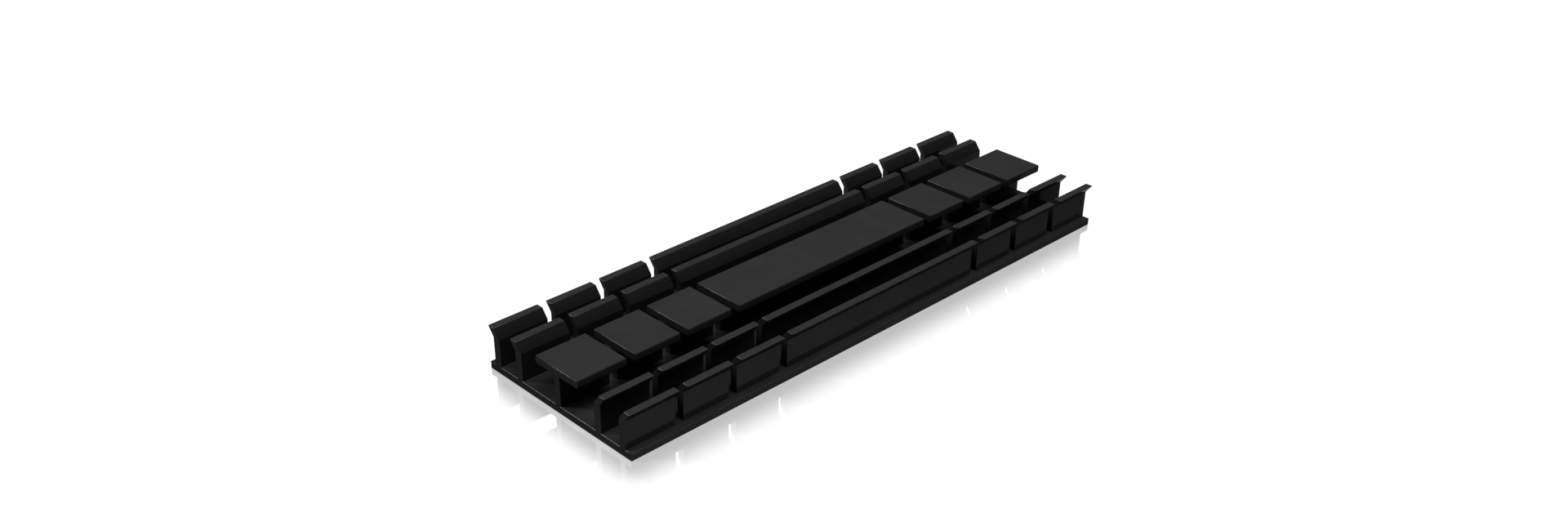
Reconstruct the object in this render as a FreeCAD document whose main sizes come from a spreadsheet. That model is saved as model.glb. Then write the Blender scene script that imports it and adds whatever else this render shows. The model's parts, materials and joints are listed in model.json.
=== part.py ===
"""A heat sink for a slim solid-state drive, made from one length of aluminium extrusion.

The section is a thin plate that carries five ribs: two fins on each side, whose heads lean
outwards, and a T-shaped rib along the middle. Six narrow slots are milled across all the ribs,
down to the plate, and leave seven blocks: three short ones, a long one and three short ones.
Every sawn, milled or upper edge has a small bevel.

Millimetres. X runs along the drive, Y across it and Z up. The origin is the middle of the underside.
"""

import FreeCAD, Part
import os
import Sketcher

# The sizes that set the whole part, each written once
SIZES = {
    "length": (70.0, "length of the extrusion"),
    "width": (22.0, "width of the plate"),
    "height": (5.0, "underside to the top of the ribs"),
    "plate_thickness": (0.8, "thickness of the plate"),
    "ledge": (0.85, "bare strip of plate outside the outer fins"),
    "fin_thickness": (0.9, "thickness of a fin"),
    "fin_pitch": (3.6, "outer fin to inner fin"),
    "flare_height": (1.05, "height of a fin's leaning head"),
    "flare_reach": (0.8, "how far the head leans outwards"),
    "web_thickness": (0.85, "upright of the middle rib"),
    "cap_width": (6.4, "flat top of the middle rib"),
    "cap_thickness": (0.85, "thickness of that flat top"),
    "root_radius": (0.15, "rounded corner between upright and flat top"),
    "end_block": (6.1, "length of the first and last block"),
    "slot_width": (1.0, "width of a cross slot"),
    "slot_pitch": (6.85, "slot to slot near an end"),
    "slots_at_each_end": (3, "number of slots near an end"),
    "edge_bevel": (0.1, "bevel on the edges"),
}

PART_NAME = "heat_sink"
TINY = 1e-4
SLOT_VOLUME_TOLERANCE = 0.001

# Sketcher counts the points of a line from one. The origin is the start of its own first axis
START, END = range(1, 3)
FIRST_AXIS = -1
ORIGIN = (FIRST_AXIS, START)


def fill_sheet(document):
    """Writes each size into the sheet under its name."""
    sheet = document.addObject("Spreadsheet::Sheet", "sizes")
    for row, (name, (value, meaning)) in enumerate(SIZES.items(), start=1):
        sheet.set(f"A{row}", meaning)
        sheet.set(f"B{row}", str(value))
        sheet.setAlias(f"B{row}", name)
    document.recompute()
    return sheet


def size(sheet, name):
    """One size from the sheet as a plain number."""
    return float(sheet.get(name))


def origin_feature(body, role):
    """The body's own origin plane or axis with that role."""
    return next(item for item in body.Origin.OriginFeatures if item.Role == role)


def new_sketch(body, name, role):
    """An empty sketch on one of the body's own origin planes."""
    sketch = body.newObject("Sketcher::SketchObject", name)
    sketch.AttachmentSupport = [(origin_feature(body, role), "")]
    sketch.MapMode = "FlatFace"
    return sketch


def draw_outline(sketch, corners):
    """Draws a closed outline through the corners and joins its lines end to end."""
    points = [FreeCAD.Vector(across, up, 0) for across, up in corners]
    count = len(points)
    for index in range(count):
        sketch.addGeometry(Part.LineSegment(points[index], points[(index + 1) % count]))
    for index in range(count):
        sketch.addConstraint(Sketcher.Constraint("Coincident", index, END, (index + 1) % count, START))


def level(sketch, *lines):
    for line in lines:
        sketch.addConstraint(Sketcher.Constraint("Horizontal", line))


def upright(sketch, *lines):
    for line in lines:
        sketch.addConstraint(Sketcher.Constraint("Vertical", line))


def dimension(sketch, direction, first, second, value, expression):
    """Sets the distance from one point to another and ties it to the sheet."""
    index = sketch.addConstraint(Sketcher.Constraint(direction, *first, *second, value))
    sketch.setExpression(f"Constraints[{index}]", expression)


def pad_along(body, name, sketch):
    """Extrudes a cross section over the whole length, half of it each way."""
    pad = body.newObject("PartDesign::Pad", name)
    pad.Profile = sketch
    pad.SideType = "Symmetric"
    pad.setExpression("Length", "sizes.length")
    return pad


def repeat(body, name, original, pattern, mirror_role):
    """Repeats a feature by a linear pattern, then mirrors the row to the other side."""
    mirror = body.newObject("PartDesign::Mirrored", name + "_mirror")
    mirror.MirrorPlane = (origin_feature(body, mirror_role), [""])
    row = body.newObject("PartDesign::MultiTransform", name)
    row.Originals = [original]
    row.Transformations = [pattern, mirror]
    body.Tip = row
    return row


def add_plate(body, sheet):
    """The flat plate that lies on the drive."""
    half = size(sheet, "width") / 2
    thickness = size(sheet, "plate_thickness")
    sketch = new_sketch(body, "plate_section", "YZ_Plane")
    draw_outline(sketch, [(-half, 0), (half, 0), (half, thickness), (-half, thickness)])
    level(sketch, 0, 2)
    upright(sketch, 1, 3)
    sketch.addConstraint(Sketcher.Constraint("PointOnObject", 0, START, FIRST_AXIS))
    dimension(sketch, "DistanceX", ORIGIN, (1, START), half, "sizes.width / 2")
    dimension(sketch, "DistanceX", (0, START), (0, END), 2 * half, "sizes.width")
    dimension(sketch, "DistanceY", (1, START), (1, END), thickness, "sizes.plate_thickness")
    return pad_along(body, "plate", sketch)


def add_fins(body, sheet):
    """Two fins on each side. Both faces of a fin bend outwards at the same height."""
    foot = size(sheet, "plate_thickness")
    top = size(sheet, "height")
    thickness = size(sheet, "fin_thickness")
    reach = size(sheet, "flare_reach")
    bend = top - size(sheet, "flare_height")
    face = size(sheet, "width") / 2 - size(sheet, "ledge")

    sketch = new_sketch(body, "fin_section", "YZ_Plane")
    draw_outline(sketch, [
        (face, foot),
        (face, bend),
        (face + reach, top),
        (face + reach - thickness, top),
        (face - thickness, bend),
        (face - thickness, foot),
    ])
    upright(sketch, 0, 4)
    level(sketch, 2, 5)
    sketch.addConstraint(Sketcher.Constraint("Parallel", 1, 3))
    sketch.addConstraint(Sketcher.Constraint("Horizontal", 0, END, 4, START))
    dimension(sketch, "DistanceX", ORIGIN, (0, START), face, "sizes.width / 2 - sizes.ledge")
    dimension(sketch, "DistanceY", ORIGIN, (0, START), foot, "sizes.plate_thickness")
    dimension(sketch, "DistanceY", ORIGIN, (1, END), top, "sizes.height")
    dimension(sketch, "DistanceY", (1, START), (1, END), top - bend, "sizes.flare_height")
    dimension(sketch, "DistanceX", (1, START), (1, END), reach, "sizes.flare_reach")
    dimension(sketch, "DistanceX", (5, START), (5, END), thickness, "sizes.fin_thickness")
    fin = pad_along(body, "outer_fin", sketch)

    pair = body.newObject("PartDesign::LinearPattern", "fin_pair")
    pair.Direction = (origin_feature(body, "Y_Axis"), [""])
    pair.Reversed = True
    pair.Mode = "Spacing"
    pair.setExpression("Offset", "sizes.fin_pitch")
    pair.Occurrences = 2
    return repeat(body, "fins", fin, pair, "XZ_Plane")


def add_middle_rib(body, sheet):
    """The T-shaped rib, with a rounded corner on each side under its flat top."""
    foot = size(sheet, "plate_thickness")
    top = size(sheet, "height")
    under = top - size(sheet, "cap_thickness")
    web = size(sheet, "web_thickness") / 2
    cap = size(sheet, "cap_width") / 2

    sketch = new_sketch(body, "middle_rib_section", "YZ_Plane")
    draw_outline(sketch, [
        (-web, foot),
        (web, foot),
        (web, under),
        (cap, under),
        (cap, top),
        (-cap, top),
        (-cap, under),
        (-web, under),
    ])
    level(sketch, 0, 2, 4, 6)
    upright(sketch, 1, 3, 5, 7)
    sketch.addConstraint(Sketcher.Constraint("Horizontal", 2, START, 6, END))
    dimension(sketch, "DistanceY", ORIGIN, (0, START), foot, "sizes.plate_thickness")
    dimension(sketch, "DistanceY", ORIGIN, (4, START), top, "sizes.height")
    dimension(sketch, "DistanceY", (3, START), (3, END), top - under, "sizes.cap_thickness")
    dimension(sketch, "DistanceX", ORIGIN, (0, END), web, "sizes.web_thickness / 2")
    dimension(sketch, "DistanceX", (0, START), (0, END), 2 * web, "sizes.web_thickness")
    dimension(sketch, "DistanceX", ORIGIN, (3, START), cap, "sizes.cap_width / 2")
    dimension(sketch, "DistanceX", (4, END), (4, START), 2 * cap, "sizes.cap_width")
    rib = pad_along(body, "middle_rib", sketch)
    body.Document.recompute()

    roots = body.newObject("PartDesign::Fillet", "rib_roots")
    roots.Base = (rib, names_of(rib, lambda edge: runs_along(edge, web, under)))
    roots.setExpression("Radius", "sizes.root_radius")
    return roots


def add_slots(body, sheet):
    """The cross slots, cut through every rib and flush with the plate."""
    foot = size(sheet, "plate_thickness")
    top = size(sheet, "height")
    wide = size(sheet, "slot_width")
    start = size(sheet, "length") / 2 - size(sheet, "end_block")

    sketch = new_sketch(body, "slot_outline", "XZ_Plane")
    draw_outline(sketch, [(start - wide, foot), (start, foot), (start, top), (start - wide, top)])
    level(sketch, 0, 2)
    upright(sketch, 1, 3)
    dimension(sketch, "DistanceX", ORIGIN, (0, END), start, "sizes.length / 2 - sizes.end_block")
    dimension(sketch, "DistanceX", (0, START), (0, END), wide, "sizes.slot_width")
    dimension(sketch, "DistanceY", ORIGIN, (0, START), foot, "sizes.plate_thickness")
    dimension(sketch, "DistanceY", ORIGIN, (2, START), top, "sizes.height")

    slot = body.newObject("PartDesign::Pocket", "first_slot")
    slot.Profile = sketch
    slot.Type = "ThroughAll"
    slot.SideType = "Symmetric"

    row = body.newObject("PartDesign::LinearPattern", "slots_near_one_end")
    row.Direction = (origin_feature(body, "X_Axis"), [""])
    row.Reversed = True
    row.Mode = "Spacing"
    row.setExpression("Offset", "sizes.slot_pitch")
    row.setExpression("Occurrences", "sizes.slots_at_each_end")
    return repeat(body, "slots", slot, row, "YZ_Plane")


def names_of(feature, wanted):
    """The names of a feature's edges that answer a test."""
    return [f"Edge{number}" for number, edge in enumerate(feature.Shape.Edges, start=1) if wanted(edge)]


def runs_along(edge, across, up):
    """Whether an edge runs along the extrusion at that distance from the middle and that height."""
    box = edge.BoundBox
    straight = box.YLength < TINY and box.ZLength < TINY
    return straight and abs(abs(box.YMin) - across) < TINY and abs(box.ZMin - up) < TINY


def add_bevels(body, sheet, last):
    """The bevels round each sawn or milled face, along the rib tops and along the plate's sides."""
    foot = size(sheet, "plate_thickness")
    top = size(sheet, "height")
    under = top - size(sheet, "cap_thickness")
    cap = size(sheet, "cap_width") / 2
    side = size(sheet, "width") / 2
    end = size(sheet, "length") / 2

    def is_cut_outline(edge):
        box = edge.BoundBox
        across = box.XLength < TINY
        on_a_rib = box.ZMax > foot + TINY
        on_the_plate_end = abs(abs(box.XMin) - end) < TINY and box.ZMin > foot - TINY
        return across and (on_a_rib or on_the_plate_end)

    def is_long_edge(edge):
        box = edge.BoundBox
        on_top = box.ZMin > top - TINY and box.YLength < TINY
        return on_top or runs_along(edge, cap, under) or runs_along(edge, side, foot)

    bevels = body.newObject("PartDesign::Chamfer", "edge_bevels")
    bevels.Base = (last, names_of(last, lambda edge: is_cut_outline(edge) or is_long_edge(edge)))
    bevels.setExpression("Size", "sizes.edge_bevel")
    return bevels


def check_solid(document, body):
    """Stops if a feature has failed or the part isn't one sound solid."""
    for item in document.Objects:
        broken = [state for state in item.State if state in ("Invalid", "Error")]
        if broken:
            raise RuntimeError(f"{item.Name} is {broken}")
    shape = body.Shape
    if shape.isNull() or not shape.isValid() or len(shape.Solids) != 1:
        raise RuntimeError(f"{body.Label} isn't one valid solid")


def check_slots(sheet, before, after):
    """Stops if the slots took more or less metal than their width says."""
    plate = size(sheet, "length") * size(sheet, "width") * size(sheet, "plate_thickness")
    all_slots = 2 * size(sheet, "slots_at_each_end") * size(sheet, "slot_width")
    expected = (before.Shape.Volume - plate) * all_slots / size(sheet, "length")
    removed = before.Shape.Volume - after.Shape.Volume
    if abs(removed - expected) > SLOT_VOLUME_TOLERANCE * expected:
        raise RuntimeError(f"the slots took {removed:.1f} mm3 and not {expected:.1f} mm3")


def main():
    document = FreeCAD.newDocument(PART_NAME)
    sheet = fill_sheet(document)
    body = document.addObject("PartDesign::Body", PART_NAME)
    body.Label = PART_NAME

    add_plate(body, sheet)
    add_fins(body, sheet)
    rib = add_middle_rib(body, sheet)
    slots = add_slots(body, sheet)
    document.recompute()
    bevels = add_bevels(body, sheet, slots)
    body.Tip = bevels
    document.recompute()
    check_solid(document, body)
    check_slots(sheet, rib, slots)

    os.makedirs("parts", exist_ok=True)
    body.Shape.exportStep(f"parts/{body.Label}.step")
    box = body.Shape.BoundBox
    print(f"{body.Label}: {box.XLength:.2f} x {box.YLength:.2f} x {box.ZLength:.2f} mm,",
          f"{body.Shape.Volume:.0f} mm3, {len(body.Shape.Faces)} faces")


main()
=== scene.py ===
# %% [markdown]
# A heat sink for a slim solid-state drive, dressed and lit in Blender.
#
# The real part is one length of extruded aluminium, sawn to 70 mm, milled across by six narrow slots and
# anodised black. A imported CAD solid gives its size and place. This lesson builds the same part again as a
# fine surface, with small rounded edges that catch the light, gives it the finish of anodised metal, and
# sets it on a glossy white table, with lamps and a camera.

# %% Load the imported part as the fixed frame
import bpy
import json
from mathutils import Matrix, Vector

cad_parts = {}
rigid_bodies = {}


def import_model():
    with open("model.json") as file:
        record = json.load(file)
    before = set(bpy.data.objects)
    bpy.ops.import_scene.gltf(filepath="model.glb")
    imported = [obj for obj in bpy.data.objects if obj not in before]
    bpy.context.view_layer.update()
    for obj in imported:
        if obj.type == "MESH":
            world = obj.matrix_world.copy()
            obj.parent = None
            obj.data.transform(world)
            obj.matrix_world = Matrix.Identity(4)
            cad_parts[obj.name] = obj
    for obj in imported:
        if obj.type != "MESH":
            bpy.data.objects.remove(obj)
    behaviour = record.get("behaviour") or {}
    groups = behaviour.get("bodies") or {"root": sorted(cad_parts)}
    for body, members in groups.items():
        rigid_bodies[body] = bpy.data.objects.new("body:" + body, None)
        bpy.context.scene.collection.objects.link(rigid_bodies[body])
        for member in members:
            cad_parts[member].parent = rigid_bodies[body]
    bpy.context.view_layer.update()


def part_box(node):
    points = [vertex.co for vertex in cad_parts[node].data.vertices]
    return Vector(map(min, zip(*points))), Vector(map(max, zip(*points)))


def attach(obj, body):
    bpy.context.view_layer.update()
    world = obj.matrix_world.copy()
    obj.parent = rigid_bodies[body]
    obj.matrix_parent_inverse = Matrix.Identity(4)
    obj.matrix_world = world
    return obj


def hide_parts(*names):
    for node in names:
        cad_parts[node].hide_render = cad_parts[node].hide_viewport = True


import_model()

# %% Imports
import json
import math

import bpy
import numpy as np
from mathutils import Matrix, Vector

# %% [markdown]
# The sizes come first. Length, width and height are read from the CAD box, so that both models agree. The
# others are the sizes of the extrusion die and of the slitting saw, written in millimetres and turned into
# metres.

# %% Sizes of the section and of the slots
MM = 0.001
low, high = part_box("heat_sink")
END = high.x
SIDE = high.y
TOP = high.z

PLATE = 0.8 * MM
LEDGE = 0.85 * MM
FIN_THICKNESS = 0.9 * MM
FIN_PITCH = 3.6 * MM
FLARE_HEIGHT = 1.05 * MM
FLARE_REACH = 0.8 * MM
WEB = 0.85 * MM
CAP_WIDTH = 6.4 * MM
CAP_THICKNESS = 0.85 * MM
ROOT_RADIUS = 0.15 * MM

END_BLOCK = 6.1 * MM
SLOT_WIDTH = 1.0 * MM
SLOT_PITCH = 6.85 * MM
SLOTS_AT_EACH_END = 3
TINY = 0.000001 * MM
print(f"length {2 * END / MM:.2f} mm, width {2 * SIDE / MM:.2f} mm, height {TOP / MM:.2f} mm")

# %% [markdown]
# An extrusion is a flat outline pushed through a die, so the outline is the whole design. It goes round
# anticlockwise as seen from the far end: along the underside, up one side, over the five ribs and down the
# other side. Each half of a rib is written once, and the other half of the section is its mirror image.

# %% Outline of the section
def fin_outline(face):
    """Foot to foot round one fin: straight up from the plate, then leaning outwards by the same reach on
    both faces. face is how far the fin's outer face stands from the middle."""
    bend = TOP - FLARE_HEIGHT
    across = np.array([0, 0, FLARE_REACH, FLARE_REACH - FIN_THICKNESS, -FIN_THICKNESS, -FIN_THICKNESS])
    up = np.array([PLATE, bend, TOP, TOP, bend, PLATE])
    return np.column_stack([face + across, up])


def half_middle_rib(points=7):
    """Foot to top of one half of the T-shaped rib. The corner under the flat top is a quarter circle, with
    its centre one radius out from the upright and one radius down from the flat top."""
    under = TOP - CAP_THICKNESS
    turn = np.linspace(math.pi, math.pi / 2, points)
    corner = np.column_stack([
        WEB / 2 + ROOT_RADIUS * (1 + np.cos(turn)),
        under - ROOT_RADIUS * (1 - np.sin(turn)),
    ])
    return np.vstack([[WEB / 2, PLATE], corner, [CAP_WIDTH / 2, under], [CAP_WIDTH / 2, TOP]])


def section_outline():
    """The ring of points round the whole section: one half, then its mirror image in reverse order."""
    outer_face = SIDE - LEDGE
    half = np.vstack([
        [[SIDE, 0], [SIDE, PLATE]],
        fin_outline(outer_face),
        fin_outline(outer_face - FIN_PITCH),
        half_middle_rib(),
    ])
    return np.vstack([half, half[::-1] * [-1, 1]])


RING = section_outline()
print("points round the section:", len(RING))

# %% [markdown]
# The outline is then carried along the part. It stops at each end and at both walls of each slot, which
# makes a grid: one row of points for each stop, one column for each point of the outline. The skin of the
# plate joins every pair of rows. The skin of a rib joins only the rows of one block, and the slots between
# the blocks are closed by a wall at each side and a strip of plate below.

# %% Stops along the part
def stops_along():
    """Where the outline stops, from end to end: the ends, and both walls of each slot."""
    outer_walls = END - END_BLOCK - SLOT_PITCH * np.arange(SLOTS_AT_EACH_END)
    walls = np.concatenate([outer_walls, outer_walls - SLOT_WIDTH])
    return np.sort(np.concatenate([[END], walls, -walls, [-END]]))


STOPS = stops_along()
print("stops along the part, mm:", np.round(STOPS / MM, 2))

# %% The grid of points and the faces between them
def skin(span, start, stop):
    """Four corners for each span between two stops and each line of the outline, as an array."""
    near = span[:, None] * len(RING)
    far = near + len(RING)
    return np.stack([near + start, near + stop, far + stop, far + start], axis=-1).reshape(-1, 4)


def sharp_body():
    """Points: every stop with every point of the outline. Faces: the plate's skin along all spans, the
    ribs' skin along the blocks, the strips of plate under the slots, the slot walls and the two ends."""
    count = len(RING)
    column = np.arange(count)
    following = (column + 1) % count
    on_plate = RING[:, 1] <= PLATE + TINY
    plate_line = on_plate & on_plate[following]

    spans = np.arange(len(STOPS) - 1)
    blocks = spans[::2]
    slots = spans[1::2]

    feet = column[on_plate & (plate_line != np.roll(plate_line, 1))]
    feet = feet[np.abs(RING[feet, 0]) < SIDE - LEDGE / 2].reshape(-1, 2)

    quads = np.vstack([
        skin(spans, column[plate_line], following[plate_line]),
        skin(blocks, column[~plate_line], following[~plate_line]),
        skin(slots, feet[:, 0], feet[:, 1]),
    ])
    walls = []
    for foot, other_foot in feet:
        rib = np.arange(foot, other_foot + 1)
        walls += [(rib + count * stop).tolist() for stop in slots]
        walls += [(rib[::-1] + count * (stop + 1)).tolist() for stop in slots]
    ends = [column[::-1].tolist(), (column + count * (len(STOPS) - 1)).tolist()]

    x = np.repeat(STOPS, count)
    yz = np.tile(RING, (len(STOPS), 1))
    points = np.column_stack([x, yz])
    return points, quads.tolist() + walls + ends


def mesh_object(name, points, faces):
    """A mesh object at the origin, unturned and unscaled, so that its place is in its points."""
    mesh = bpy.data.meshes.new(name)
    mesh.from_pydata(points.tolist(), [], faces)
    mesh.validate()
    made = bpy.data.objects.new(name, mesh)
    bpy.context.scene.collection.objects.link(made)
    return made


heat_sink = mesh_object("finned_body", *sharp_body())
print("sharp body:", len(heat_sink.data.vertices), "points,", len(heat_sink.data.polygons), "faces")

# %% [markdown]
# No real edge is a perfect corner. The die and a deburring pass leave every outward edge slightly rounded,
# and these narrow bevels are the thin bright lines of the picture. To find the edges, each is asked how far
# its two faces turn away from each other. An outward turn of more than 45 degrees gets a bevel, a smaller
# one round the underside, and the inner corners and the bends of the fins stay sharp.

# %% How far the faces turn at each edge
def turn_at_edges(mesh):
    """For each edge, the angle from one face's normal to the other's. It is positive where the corner
    points outwards: there the first face, seen from the edge, lies behind the second one."""
    loops = len(mesh.loops)
    edge_of_loop = np.empty(loops, int)
    point_of_loop = np.empty(loops, int)
    mesh.loops.foreach_get("edge_index", edge_of_loop)
    mesh.loops.foreach_get("vertex_index", point_of_loop)
    first_loop = np.empty(len(mesh.polygons), int)
    corners = np.empty(len(mesh.polygons), int)
    normals = np.empty(len(mesh.polygons) * 3)
    points = np.empty(len(mesh.vertices) * 3)
    mesh.polygons.foreach_get("loop_start", first_loop)
    mesh.polygons.foreach_get("loop_total", corners)
    mesh.polygons.foreach_get("normal", normals)
    mesh.vertices.foreach_get("co", points)
    normals = normals.reshape(-1, 3)
    points = points.reshape(-1, 3)

    face_of_loop = np.repeat(np.arange(len(corners)), corners)
    next_loop = np.arange(loops) + 1
    last = first_loop + corners - 1
    next_loop[last] = first_loop
    along = points[point_of_loop[next_loop]] - points[point_of_loop]
    along /= np.linalg.norm(along, axis=1)[:, None]

    pairs = np.argsort(edge_of_loop, kind="stable").reshape(-1, 2)
    one, two = pairs.T
    normal = normals[face_of_loop[one]]
    other = normals[face_of_loop[two]]
    inwards = np.cross(normal, along[one])
    turned = np.arctan2(-(inwards * other).sum(axis=1), (normal * other).sum(axis=1))
    return turned[np.argsort(edge_of_loop[one])]


# %% Which edges get a bevel
BEVEL_FROM = math.radians(45)
UNDERSIDE_SHARE = 0.2


def bevel_shares(mesh):
    """For each edge, how much of the full bevel it gets: all of it at an outward edge, a share of it round
    the underside, and nothing elsewhere."""
    ends = np.empty(2 * len(mesh.edges), int)
    places = np.empty(3 * len(mesh.vertices))
    mesh.edges.foreach_get("vertices", ends)
    mesh.vertices.foreach_get("co", places)
    heights = places[2::3]
    at_underside = (heights[ends.reshape(-1, 2)] < PLATE / 2).all(axis=1)
    outward = turn_at_edges(mesh) > BEVEL_FROM
    return np.where(outward, np.where(at_underside, UNDERSIDE_SHARE, 1.0), 0.0)


shares = bevel_shares(heat_sink.data)
weights = heat_sink.data.attributes.new("bevel_weight_edge", "FLOAT", "EDGE")
weights.data.foreach_set("value", shares.astype(np.float32))
print("edges with a bevel:", int((shares > 0).sum()), "of", len(shares))

# %% [markdown]
# A Bevel modifier then cuts the chosen edges in five small steps that follow a quarter circle. The shading
# runs smoothly over these steps and breaks at every sharper corner. A Weighted Normal modifier lets the
# large faces keep their own flat shading, so only the bevels catch the lamps. Both modifiers are applied,
# and leave a plain closed mesh.

# %% Cut and shade the bevels
BEVEL = 0.1 * MM
BEVEL_STEPS = 5
CRISP_FROM = math.radians(25)
LARGEST_FACE_LEADS = 100


def apply_modifiers(piece):
    """Puts the mesh that the modifiers give in the place of the piece's own mesh."""
    evaluated = piece.evaluated_get(bpy.context.evaluated_depsgraph_get())
    finished = bpy.data.meshes.new_from_object(evaluated)
    before = piece.data
    piece.modifiers.clear()
    piece.data = finished
    bpy.data.meshes.remove(before)
    finished.name = piece.name


def cut_bevels(piece):
    """Cuts each edge as wide as its bevel weight says."""
    modifier = piece.modifiers.new("bevelled_edges", "BEVEL")
    modifier.limit_method = "WEIGHT"
    modifier.offset_type = "OFFSET"
    modifier.width = BEVEL
    modifier.segments = BEVEL_STEPS
    modifier.use_clamp_overlap = False
    apply_modifiers(piece)


def shade_by_area(piece):
    """Smooth shading that breaks at each crisp edge. Elsewhere the larger face gives the normal."""
    piece.data.shade_smooth()
    piece.data.set_sharp_from_angle(angle=CRISP_FROM)
    modifier = piece.modifiers.new("normals_by_area", "WEIGHTED_NORMAL")
    modifier.keep_sharp = True
    modifier.weight = LARGEST_FACE_LEADS
    apply_modifiers(piece)


cut_bevels(heat_sink)
shade_by_area(heat_sink)
print("bevelled body:", len(heat_sink.data.polygons), "faces")

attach(heat_sink, "root")
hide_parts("heat_sink")

# %% [markdown]
# A material is a small network of nodes, and most of it is arithmetic. Two helpers keep it readable: a Wire
# is one socket that Python's operators work on, and a Recipe is one node network that adds any node by its
# type, its settings and its sockets.

# %% Helpers for node networks
class Wire:
    """One socket of a node network. Each operator adds the Math node that does the same."""

    def __init__(self, recipe, socket):
        self.recipe = recipe
        self.socket = socket

    def __add__(self, other):
        return self.recipe.maths("ADD", self, other)

    def __sub__(self, other):
        return self.recipe.maths("SUBTRACT", self, other)

    def __rsub__(self, other):
        return self.recipe.maths("SUBTRACT", other, self)

    def __mul__(self, other):
        return self.recipe.maths("MULTIPLY", self, other)

    def __truediv__(self, other):
        return self.recipe.maths("DIVIDE", self, other)

    def __pow__(self, other):
        return self.recipe.maths("POWER", self, other)

    def __abs__(self):
        return self.recipe.maths("ABSOLUTE", self)

    __radd__ = __add__
    __rmul__ = __mul__


class Recipe:
    """The node network of a material or of the world."""

    def __init__(self, owner):
        owner.use_nodes = True
        self.owner = owner
        self.tree = owner.node_tree
        self.tree.nodes.clear()

    def node(self, kind, settings=None, sockets=None, out=0):
        """Adds a node of that type: its settings first, then a value or a wire for each named socket."""
        made = self.tree.nodes.new(kind)
        for name, value in (settings or {}).items():
            setattr(made, name, value)
        for name, value in (sockets or {}).items():
            if isinstance(value, Wire):
                self.tree.links.new(value.socket, made.inputs[name])
            else:
                made.inputs[name].default_value = value
        return Wire(self, made.outputs[out]) if made.outputs else made

    def maths(self, operation, *terms):
        return self.node("ShaderNodeMath", {"operation": operation}, dict(enumerate(terms)))

    def larger(self, one, two):
        return self.maths("MAXIMUM", one, two)

    def between(self, value, start, stop):
        """0 up to start, 1 from stop on, and a smooth rise between them."""
        sockets = {"Value": value, "From Min": start, "From Max": stop}
        return self.node("ShaderNodeMapRange", {"interpolation_type": "SMOOTHSTEP"}, sockets)

    def colour_mix(self, share, one, two):
        return self.node("ShaderNodeMix", {"data_type": "RGBA"}, {0: share, 6: one, 7: two}, out=2)

    def noise(self, place, scale, detail=2.0, roughness=0.5):
        """A cloud of values round 0.5, on coordinates stretched by a scale for each axis."""
        stretched = self.node("ShaderNodeMapping", None, {"Vector": place, "Scale": scale})
        sockets = {"Vector": stretched, "Scale": 1.0, "Detail": detail, "Roughness": roughness}
        return self.node("ShaderNodeTexNoise", None, sockets)

    def finish(self, shader):
        is_world = isinstance(self.owner, bpy.types.World)
        kind = "ShaderNodeOutputWorld" if is_world else "ShaderNodeOutputMaterial"
        self.node(kind, None, {"Surface": shader})


# %% [markdown]
# Black anodising is a thin, dyed layer of oxide on aluminium roughened by blasting. Most of the light that
# comes back is a dull grey from the dye. A small share is reflected by the metal under it, and that share
# hardly grows towards a grazing view. It is therefore written as a low Metallic with a grey edge tint, and
# the gloss of the clear surface is off. Faces that point up get painted light from above: a lighter colour
# and a lower Metallic. They are also a little duller, and the walls keep more of their gloss. Close up
# there is a fine grain from the blasting. Under the grain, the long faces keep faint lines from the die,
# and the sawn and milled faces keep faint marks that run across the part. Which kind a face is follows from
# its normal, in the part's own axes.

# %% The finish: black anodised aluminium
GRAIN_PER_M = 9000.0
CLOUDS_PER_M = 350.0
LINES_PER_M = 6500.0
DRIFT_PER_M = 45.0
WALL_DARK = (0.0180, 0.0180, 0.0184, 1.0)
WALL_LIGHT = (0.0260, 0.0260, 0.0266, 1.0)
# Colours for faces that point up: the wall colours made lighter, as painted light from above
PAINTED_LIGHT_TOP_DARK = (0.0280, 0.0280, 0.0286, 1.0)
PAINTED_LIGHT_TOP_LIGHT = (0.0400, 0.0400, 0.0408, 1.0)
WALL_METAL = 0.42
TOP_METAL = 0.25
EDGE_TINT = (0.4, 0.4, 0.4, 1.0)

# How far a normal points along X or up before its face counts as cut, or as facing up with painted light
CUT_RANGE = (0.80, 0.95)
FACING_UP_PAINTED_LIGHT_RANGE = (0.72, 0.85)

# How much each pattern adds to the shade, to the roughness and to the relief
SHADE = {"grain": 1.1, "clouds": 0.9, "lines": 0.5}
ROUGHNESS = {"plain": 0.10, "grain": 0.05, "clouds": 0.04, "cut": 0.01, "facing_up_painted_light": 0.03}
RELIEF = {"grain": 0.8, "lines": 0.5}
RELIEF_HEIGHT = 0.0003 * MM


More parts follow.
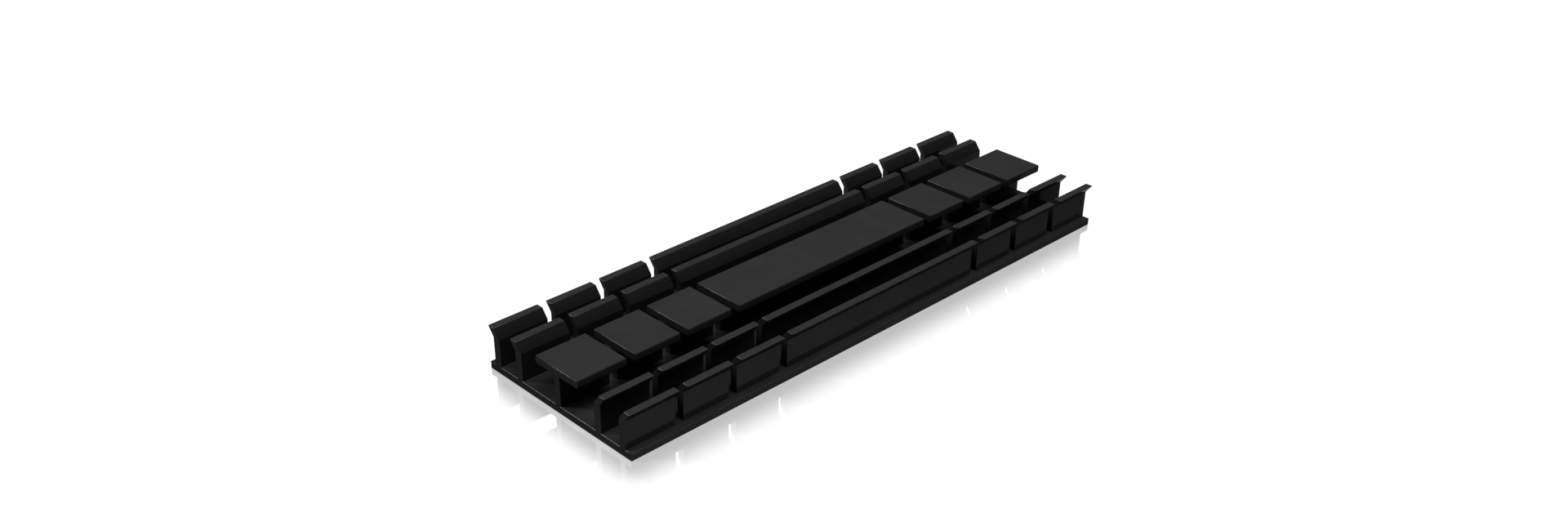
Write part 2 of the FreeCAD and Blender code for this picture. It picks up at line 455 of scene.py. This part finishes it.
def black_anodised(name):
    material = bpy.data.materials.new(name)
    recipe = Recipe(material)
    place = recipe.node("ShaderNodeTexCoord", out="Object")
    facing = recipe.node("ShaderNodeTexCoord", out="Normal")
    facing_x = recipe.node("ShaderNodeSeparateXYZ", None, {"Vector": facing}, out="X")
    facing_z = recipe.node("ShaderNodeSeparateXYZ", None, {"Vector": facing}, out="Z")
    cut_face = recipe.between(abs(facing_x), *CUT_RANGE)
    # Faces that point up: where a lighter colour is painted as light from above
    facing_up_painted_light = recipe.between(facing_z, *FACING_UP_PAINTED_LIGHT_RANGE)

    grain = recipe.noise(place, (GRAIN_PER_M,) * 3, detail=1.5, roughness=0.6)
    clouds = recipe.noise(place, (CLOUDS_PER_M,) * 3, detail=3.0)
    die_lines = recipe.noise(place, (DRIFT_PER_M, LINES_PER_M, LINES_PER_M), detail=1.0)
    saw_lines = recipe.noise(place, (LINES_PER_M, DRIFT_PER_M, LINES_PER_M), detail=1.0)
    lines = die_lines + cut_face * (saw_lines - die_lines)

    from_grain = grain - 0.5
    from_clouds = clouds - 0.5
    from_lines = lines - 0.5
    spots = from_grain * SHADE["grain"] + from_clouds * SHADE["clouds"]
    shade = 0.5 + spots + from_lines * SHADE["lines"]
    wall = recipe.colour_mix(shade, WALL_DARK, WALL_LIGHT)
    # A lighter copy of the wall colours for faces that point up: painted light from above
    top = recipe.colour_mix(shade, PAINTED_LIGHT_TOP_DARK, PAINTED_LIGHT_TOP_LIGHT)
    uneven = from_grain * ROUGHNESS["grain"] + from_clouds * ROUGHNESS["clouds"]
    duller = cut_face * ROUGHNESS["cut"] + facing_up_painted_light * ROUGHNESS["facing_up_painted_light"]
    roughness = ROUGHNESS["plain"] + uneven + duller
    relief = grain * RELIEF["grain"] + lines * RELIEF["lines"]
    bump_sockets = {"Strength": 1.0, "Distance": RELIEF_HEIGHT, "Height": relief}
    bump = recipe.node("ShaderNodeBump", None, bump_sockets)
    shader = recipe.node("ShaderNodeBsdfPrincipled", None, {
        "Base Color": recipe.colour_mix(facing_up_painted_light, wall, top),
        "Metallic": WALL_METAL + facing_up_painted_light * (TOP_METAL - WALL_METAL),
        "Roughness": roughness,
        "Normal": bump,
        "Specular IOR Level": 0.0,
        "Specular Tint": EDGE_TINT,
    })
    recipe.finish(shader)
    return material


heat_sink.data.materials.clear()
finish = black_anodised("black_anodised")
heat_sink.data.materials.append(finish)
print("finish:", finish.name, len(finish.node_tree.nodes), "nodes")

# %% [markdown]
# The part stands on a white sweep: a flat table that curves up to a low rim all round, and to a high
# backdrop behind. It is plain white paint. Where the camera or a reflection sees it, a Light Path switch
# adds the rest of its white, so that it needs no more light on the part. Its polish shows a faint mirror
# image of the part, which fades a few millimetres away from it.

# %% White sweep with a faint mirror image
INNER_RADII = [0.05, 0.4]
FLAT_RADIUS = 1.3
BEND_RADIUS = 0.34
LOW_RIM = 0.38
HIGH_RIM = 1.7
BACKDROP_AZIMUTH = math.radians(47)
BACKDROP_HALF_WIDTH = math.radians(66)
BACKDROP_BLEND = 0.2
GAP_UNDER_PART = 0.01 * MM
PAINT = 0.22
ADDED_WHITE = 0.84
POLISH_ROUGHNESS = 0.03
MIRROR_SHARE = 0.47
END_REACH = 4.0 * MM
SIDE_REACH = 4.9 * MM
FULL_MIRROR = 0.09


def rim_height(angle):
    """The low rim, which rises smoothly to the high one between 66 and 53 degrees from the backdrop's
    azimuth. The blend is a difference of cosines."""
    facing = np.cos(angle - BACKDROP_AZIMUTH)
    share = np.clip((facing - math.cos(BACKDROP_HALF_WIDTH)) / BACKDROP_BLEND, 0, 1)
    return LOW_RIM + (HIGH_RIM - LOW_RIM) * share * share * (3 - 2 * share)


def sweep_surface(turns=120, steps=12):
    """Rings round the vertical axis. Their radii and heights follow a flat floor, a quarter circle and a
    straight wall, whose top is the rim."""
    bend = np.linspace(0, math.pi / 2, steps)
    bent = FLAT_RADIUS + BEND_RADIUS * np.sin(bend)
    radius = np.concatenate([INNER_RADII, bent, [FLAT_RADIUS + BEND_RADIUS]])
    height = np.concatenate([[0.0, 0.0], BEND_RADIUS * (1 - np.cos(bend)), [0.0]])
    angle = np.linspace(0, 2 * math.pi, turns, endpoint=False)[:, None]
    points = np.stack([radius * np.cos(angle), radius * np.sin(angle), height + 0 * angle], axis=-1)
    points[:, -1, 2] = rim_height(angle[:, 0])
    rows = np.arange(turns)[:, None] * len(radius)
    next_rows = np.roll(rows, -1, axis=0)
    column = np.arange(len(radius) - 1)
    corners = [rows + column, rows + column + 1, next_rows + column + 1, next_rows + column]
    quads = np.stack(corners, axis=-1).reshape(-1, 4)
    middle = rows[:, 0].tolist()
    return points.reshape(-1, 3) - [0, 0, GAP_UNDER_PART], quads.tolist() + [middle]


def seen_directly(recipe):
    """1 for rays from the camera, from a reflection or through glass, and 0 for the light that lamps and
    surfaces spread."""
    camera = recipe.node("ShaderNodeLightPath", out="Is Camera Ray")
    glossy = recipe.node("ShaderNodeLightPath", out="Is Glossy Ray")
    through = recipe.node("ShaderNodeLightPath", out="Is Transmission Ray")
    return recipe.larger(recipe.larger(camera, glossy), through)


def white_polish(name):
    """White paint everywhere, and round the part a share of polish. The share falls with the distance from
    the part's outline, counted in reaches: one reach at the ends and a longer one at the sides."""
    material = bpy.data.materials.new(name)
    recipe = Recipe(material)
    place = recipe.node("ShaderNodeTexCoord", out="Object")
    x = abs(recipe.node("ShaderNodeSeparateXYZ", None, {"Vector": place}, out="X"))
    y = abs(recipe.node("ShaderNodeSeparateXYZ", None, {"Vector": place}, out="Y"))
    beyond_end = recipe.larger(x - END, 0.0) / END_REACH
    beyond_side = recipe.larger(y - SIDE, 0.0) / SIDE_REACH
    away = (beyond_end * beyond_end + beyond_side * beyond_side) ** 0.5
    fading = 1.0 - recipe.between(away, FULL_MIRROR, 1.0)
    camera = recipe.node("ShaderNodeLightPath", out="Is Camera Ray")

    paint = recipe.node("ShaderNodeBsdfDiffuse", None, {"Color": (PAINT, PAINT, PAINT, 1.0)})
    strength = seen_directly(recipe) * ADDED_WHITE
    white = recipe.node("ShaderNodeEmission", None, {"Color": (1.0, 1.0, 1.0, 1.0), "Strength": strength})
    plain = recipe.node("ShaderNodeAddShader", None, {0: paint, 1: white})
    gloss = {"Color": (1.0, 1.0, 1.0, 1.0), "Roughness": POLISH_ROUGHNESS}
    polish = recipe.node("ShaderNodeBsdfGlossy", None, gloss)
    share = fading * camera * MIRROR_SHARE
    recipe.finish(recipe.node("ShaderNodeMixShader", None, {0: share, 1: plain, 2: polish}))
    return material


sweep = mesh_object("sweep", *sweep_surface())
sweep.data.materials.append(white_polish("white_polish"))
sweep.data.shade_smooth()
print("sweep:", len(sweep.data.polygons), "faces")

# %% [markdown]
# The light is that of a small product studio. A grey room gives a low, even fill. The largest soft box
# hangs almost straight above, so the upper faces are the lightest and the channels stay dark. A low one in
# front of the long side lights its upright faces, and a wide, weak one to the left lights the near end. A
# small, bright one stands behind the left end: its reflection draws the thin bright lines along the bevels
# that face it.

# %% Fill from the room
FILL = 0.05


def grey_room():
    world = bpy.data.worlds.new("grey_room")
    bpy.context.scene.world = world
    recipe = Recipe(world)
    sockets = {"Color": (1.0, 1.0, 1.0, 1.0), "Strength": FILL}
    recipe.finish(recipe.node("ShaderNodeBackground", None, sockets))


grey_room()

# %% Soft boxes
def soft_box(name, azimuth, elevation, distance, width, height, radiance):
    """A lamp that faces the part. Azimuth turns from +X to +Y, both angles are in degrees, and its power is
    radiance x area x pi."""
    lamp = bpy.data.lights.new(name, "AREA")
    lamp.shape = "RECTANGLE"
    lamp.size = width
    lamp.size_y = height
    lamp.energy = radiance * width * height * math.pi
    turn = math.radians(azimuth)
    rise = math.radians(elevation)
    towards = Vector((math.cos(turn) * math.cos(rise), math.sin(turn) * math.cos(rise), math.sin(rise)))
    made = bpy.data.objects.new(name, lamp)
    made.location = towards * distance
    made.rotation_euler = towards.to_track_quat("Z", "Y").to_euler()
    made.visible_camera = False
    bpy.context.scene.collection.objects.link(made)
    level = radiance * width * height / distance ** 2 * towards.z / math.pi
    print(f"{name}: {lamp.energy:.1f} W, lights a level white face to {level:.2f}")


soft_box("soft_box_above", azimuth=-58, elevation=73, distance=2.5, width=1.4, height=1.1, radiance=7.7)
soft_box("soft_box_low", azimuth=-68, elevation=11, distance=1.25, width=0.9, height=0.35, radiance=4.2)
soft_box("soft_box_left", azimuth=165, elevation=34, distance=2.5, width=1.8, height=1.2, radiance=1.3)
soft_box("soft_box_behind_left", azimuth=129.5, elevation=33, distance=2.5, width=0.42, height=0.75,
         radiance=38.0)

# %% [markdown]
# The camera stands where the photograph was taken from. Its direction, distance, lens and shift were
# fitted to the corners of the part as they show in the picture, for an image of 1920 by 650 pixels.

# %% Camera
IMAGE_WIDTH = 1920
IMAGE_HEIGHT = 650
SENSOR_WIDTH = 36.0
AZIMUTH = math.radians(-42.9505)
ELEVATION = math.radians(29.8248)
DISTANCE = 168.9355 * MM
AIM = Vector((0.0, 0.0, 3.0 * MM))
PAN_RIGHT = 9.1329 * MM
PAN_UP = 3.7076 * MM
FOCAL_PIXELS = 1911.67
PRINCIPAL_POINT = (893.92, 367.49)
NEAREST_SEEN = 0.01
FARTHEST_SEEN = 10.0


def photo_camera():
    """Looks at the aim from an azimuth and an elevation, then slides sideways and down without turning."""
    back = Vector((
        math.sin(AZIMUTH) * math.cos(ELEVATION),
        -math.cos(AZIMUTH) * math.cos(ELEVATION),
        math.sin(ELEVATION),
    ))
    right = Vector((math.cos(AZIMUTH), math.sin(AZIMUTH), 0.0))
    up = back.cross(right)
    data = bpy.data.cameras.new("photo_camera")
    data.sensor_fit = "HORIZONTAL"
    data.sensor_width = SENSOR_WIDTH
    data.lens = FOCAL_PIXELS * SENSOR_WIDTH / IMAGE_WIDTH
    data.shift_x = (IMAGE_WIDTH / 2 - PRINCIPAL_POINT[0]) / IMAGE_WIDTH
    data.shift_y = (PRINCIPAL_POINT[1] - IMAGE_HEIGHT / 2) / IMAGE_WIDTH
    data.clip_start = NEAREST_SEEN
    data.clip_end = FARTHEST_SEEN
    camera = bpy.data.objects.new("photo_camera", data)
    place = AIM + back * DISTANCE - right * PAN_RIGHT - up * PAN_UP
    turned = Matrix((right, up, back)).transposed().to_4x4()
    camera.matrix_world = Matrix.Translation(place) @ turned
    bpy.context.scene.collection.objects.link(camera)
    return camera


bpy.context.scene.camera = photo_camera()
bpy.context.scene.view_settings.view_transform = "Standard"
print(f"lens {bpy.context.scene.camera.data.lens:.2f} mm")
